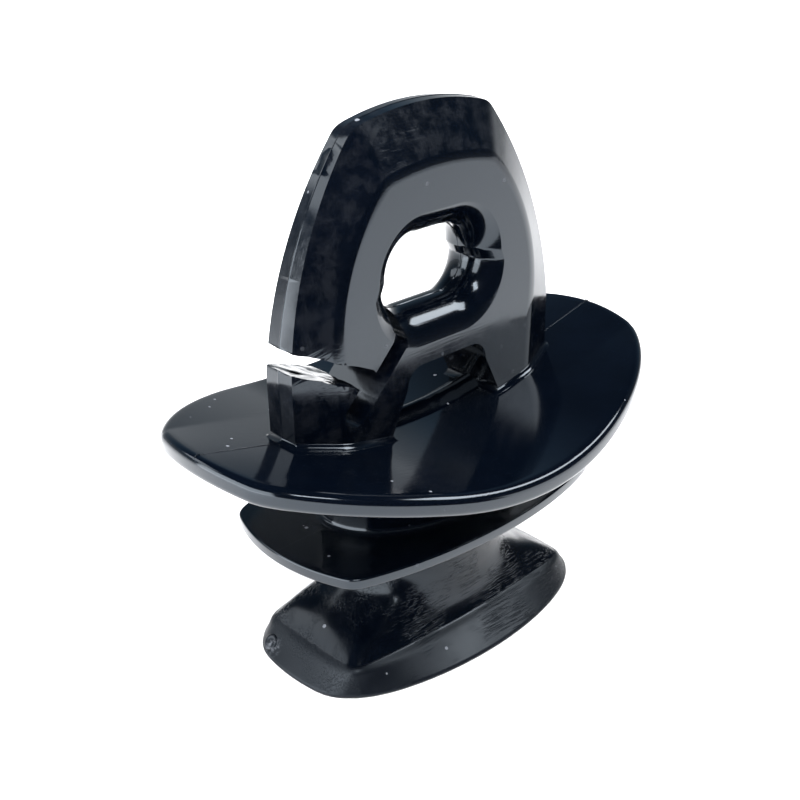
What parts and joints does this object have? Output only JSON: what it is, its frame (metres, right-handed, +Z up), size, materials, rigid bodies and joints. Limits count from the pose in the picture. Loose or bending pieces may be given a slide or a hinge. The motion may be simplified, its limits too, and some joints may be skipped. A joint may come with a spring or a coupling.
{
  "type": "cleat horn",
  "caption": "Moulded rope fitting: a D-shaped arch with an eye and a slanted jam slot on an oval saddle flange, over a thin flange, a waisted neck and a foot.",
  "frame": {"origin": "middle of the foot's flat underside", "axes": "+X along the flanges, away from the jam slot; +Y across them; +Z up towards the crown"},
  "size_m": [0.06, 0.04, 0.061],
  "materials": {
    "gloss_black": "polished black acetal with light handling scratches",
    "satin_black": "satin black acetal, dressed by hand where the gate was trimmed"
  },
  "bodies": {
    "root": {"foot_block": "satin_black", "neck": "satin_black", "lower_flange": "gloss_black", "stem": "gloss_black", "upper_flange": "gloss_black", "jam_post": "gloss_black", "eye_sill": "gloss_black", "closed_leg": "gloss_black", "hanging_horn": "gloss_black", "crown": "gloss_black"}
  },
  "joints": []
}
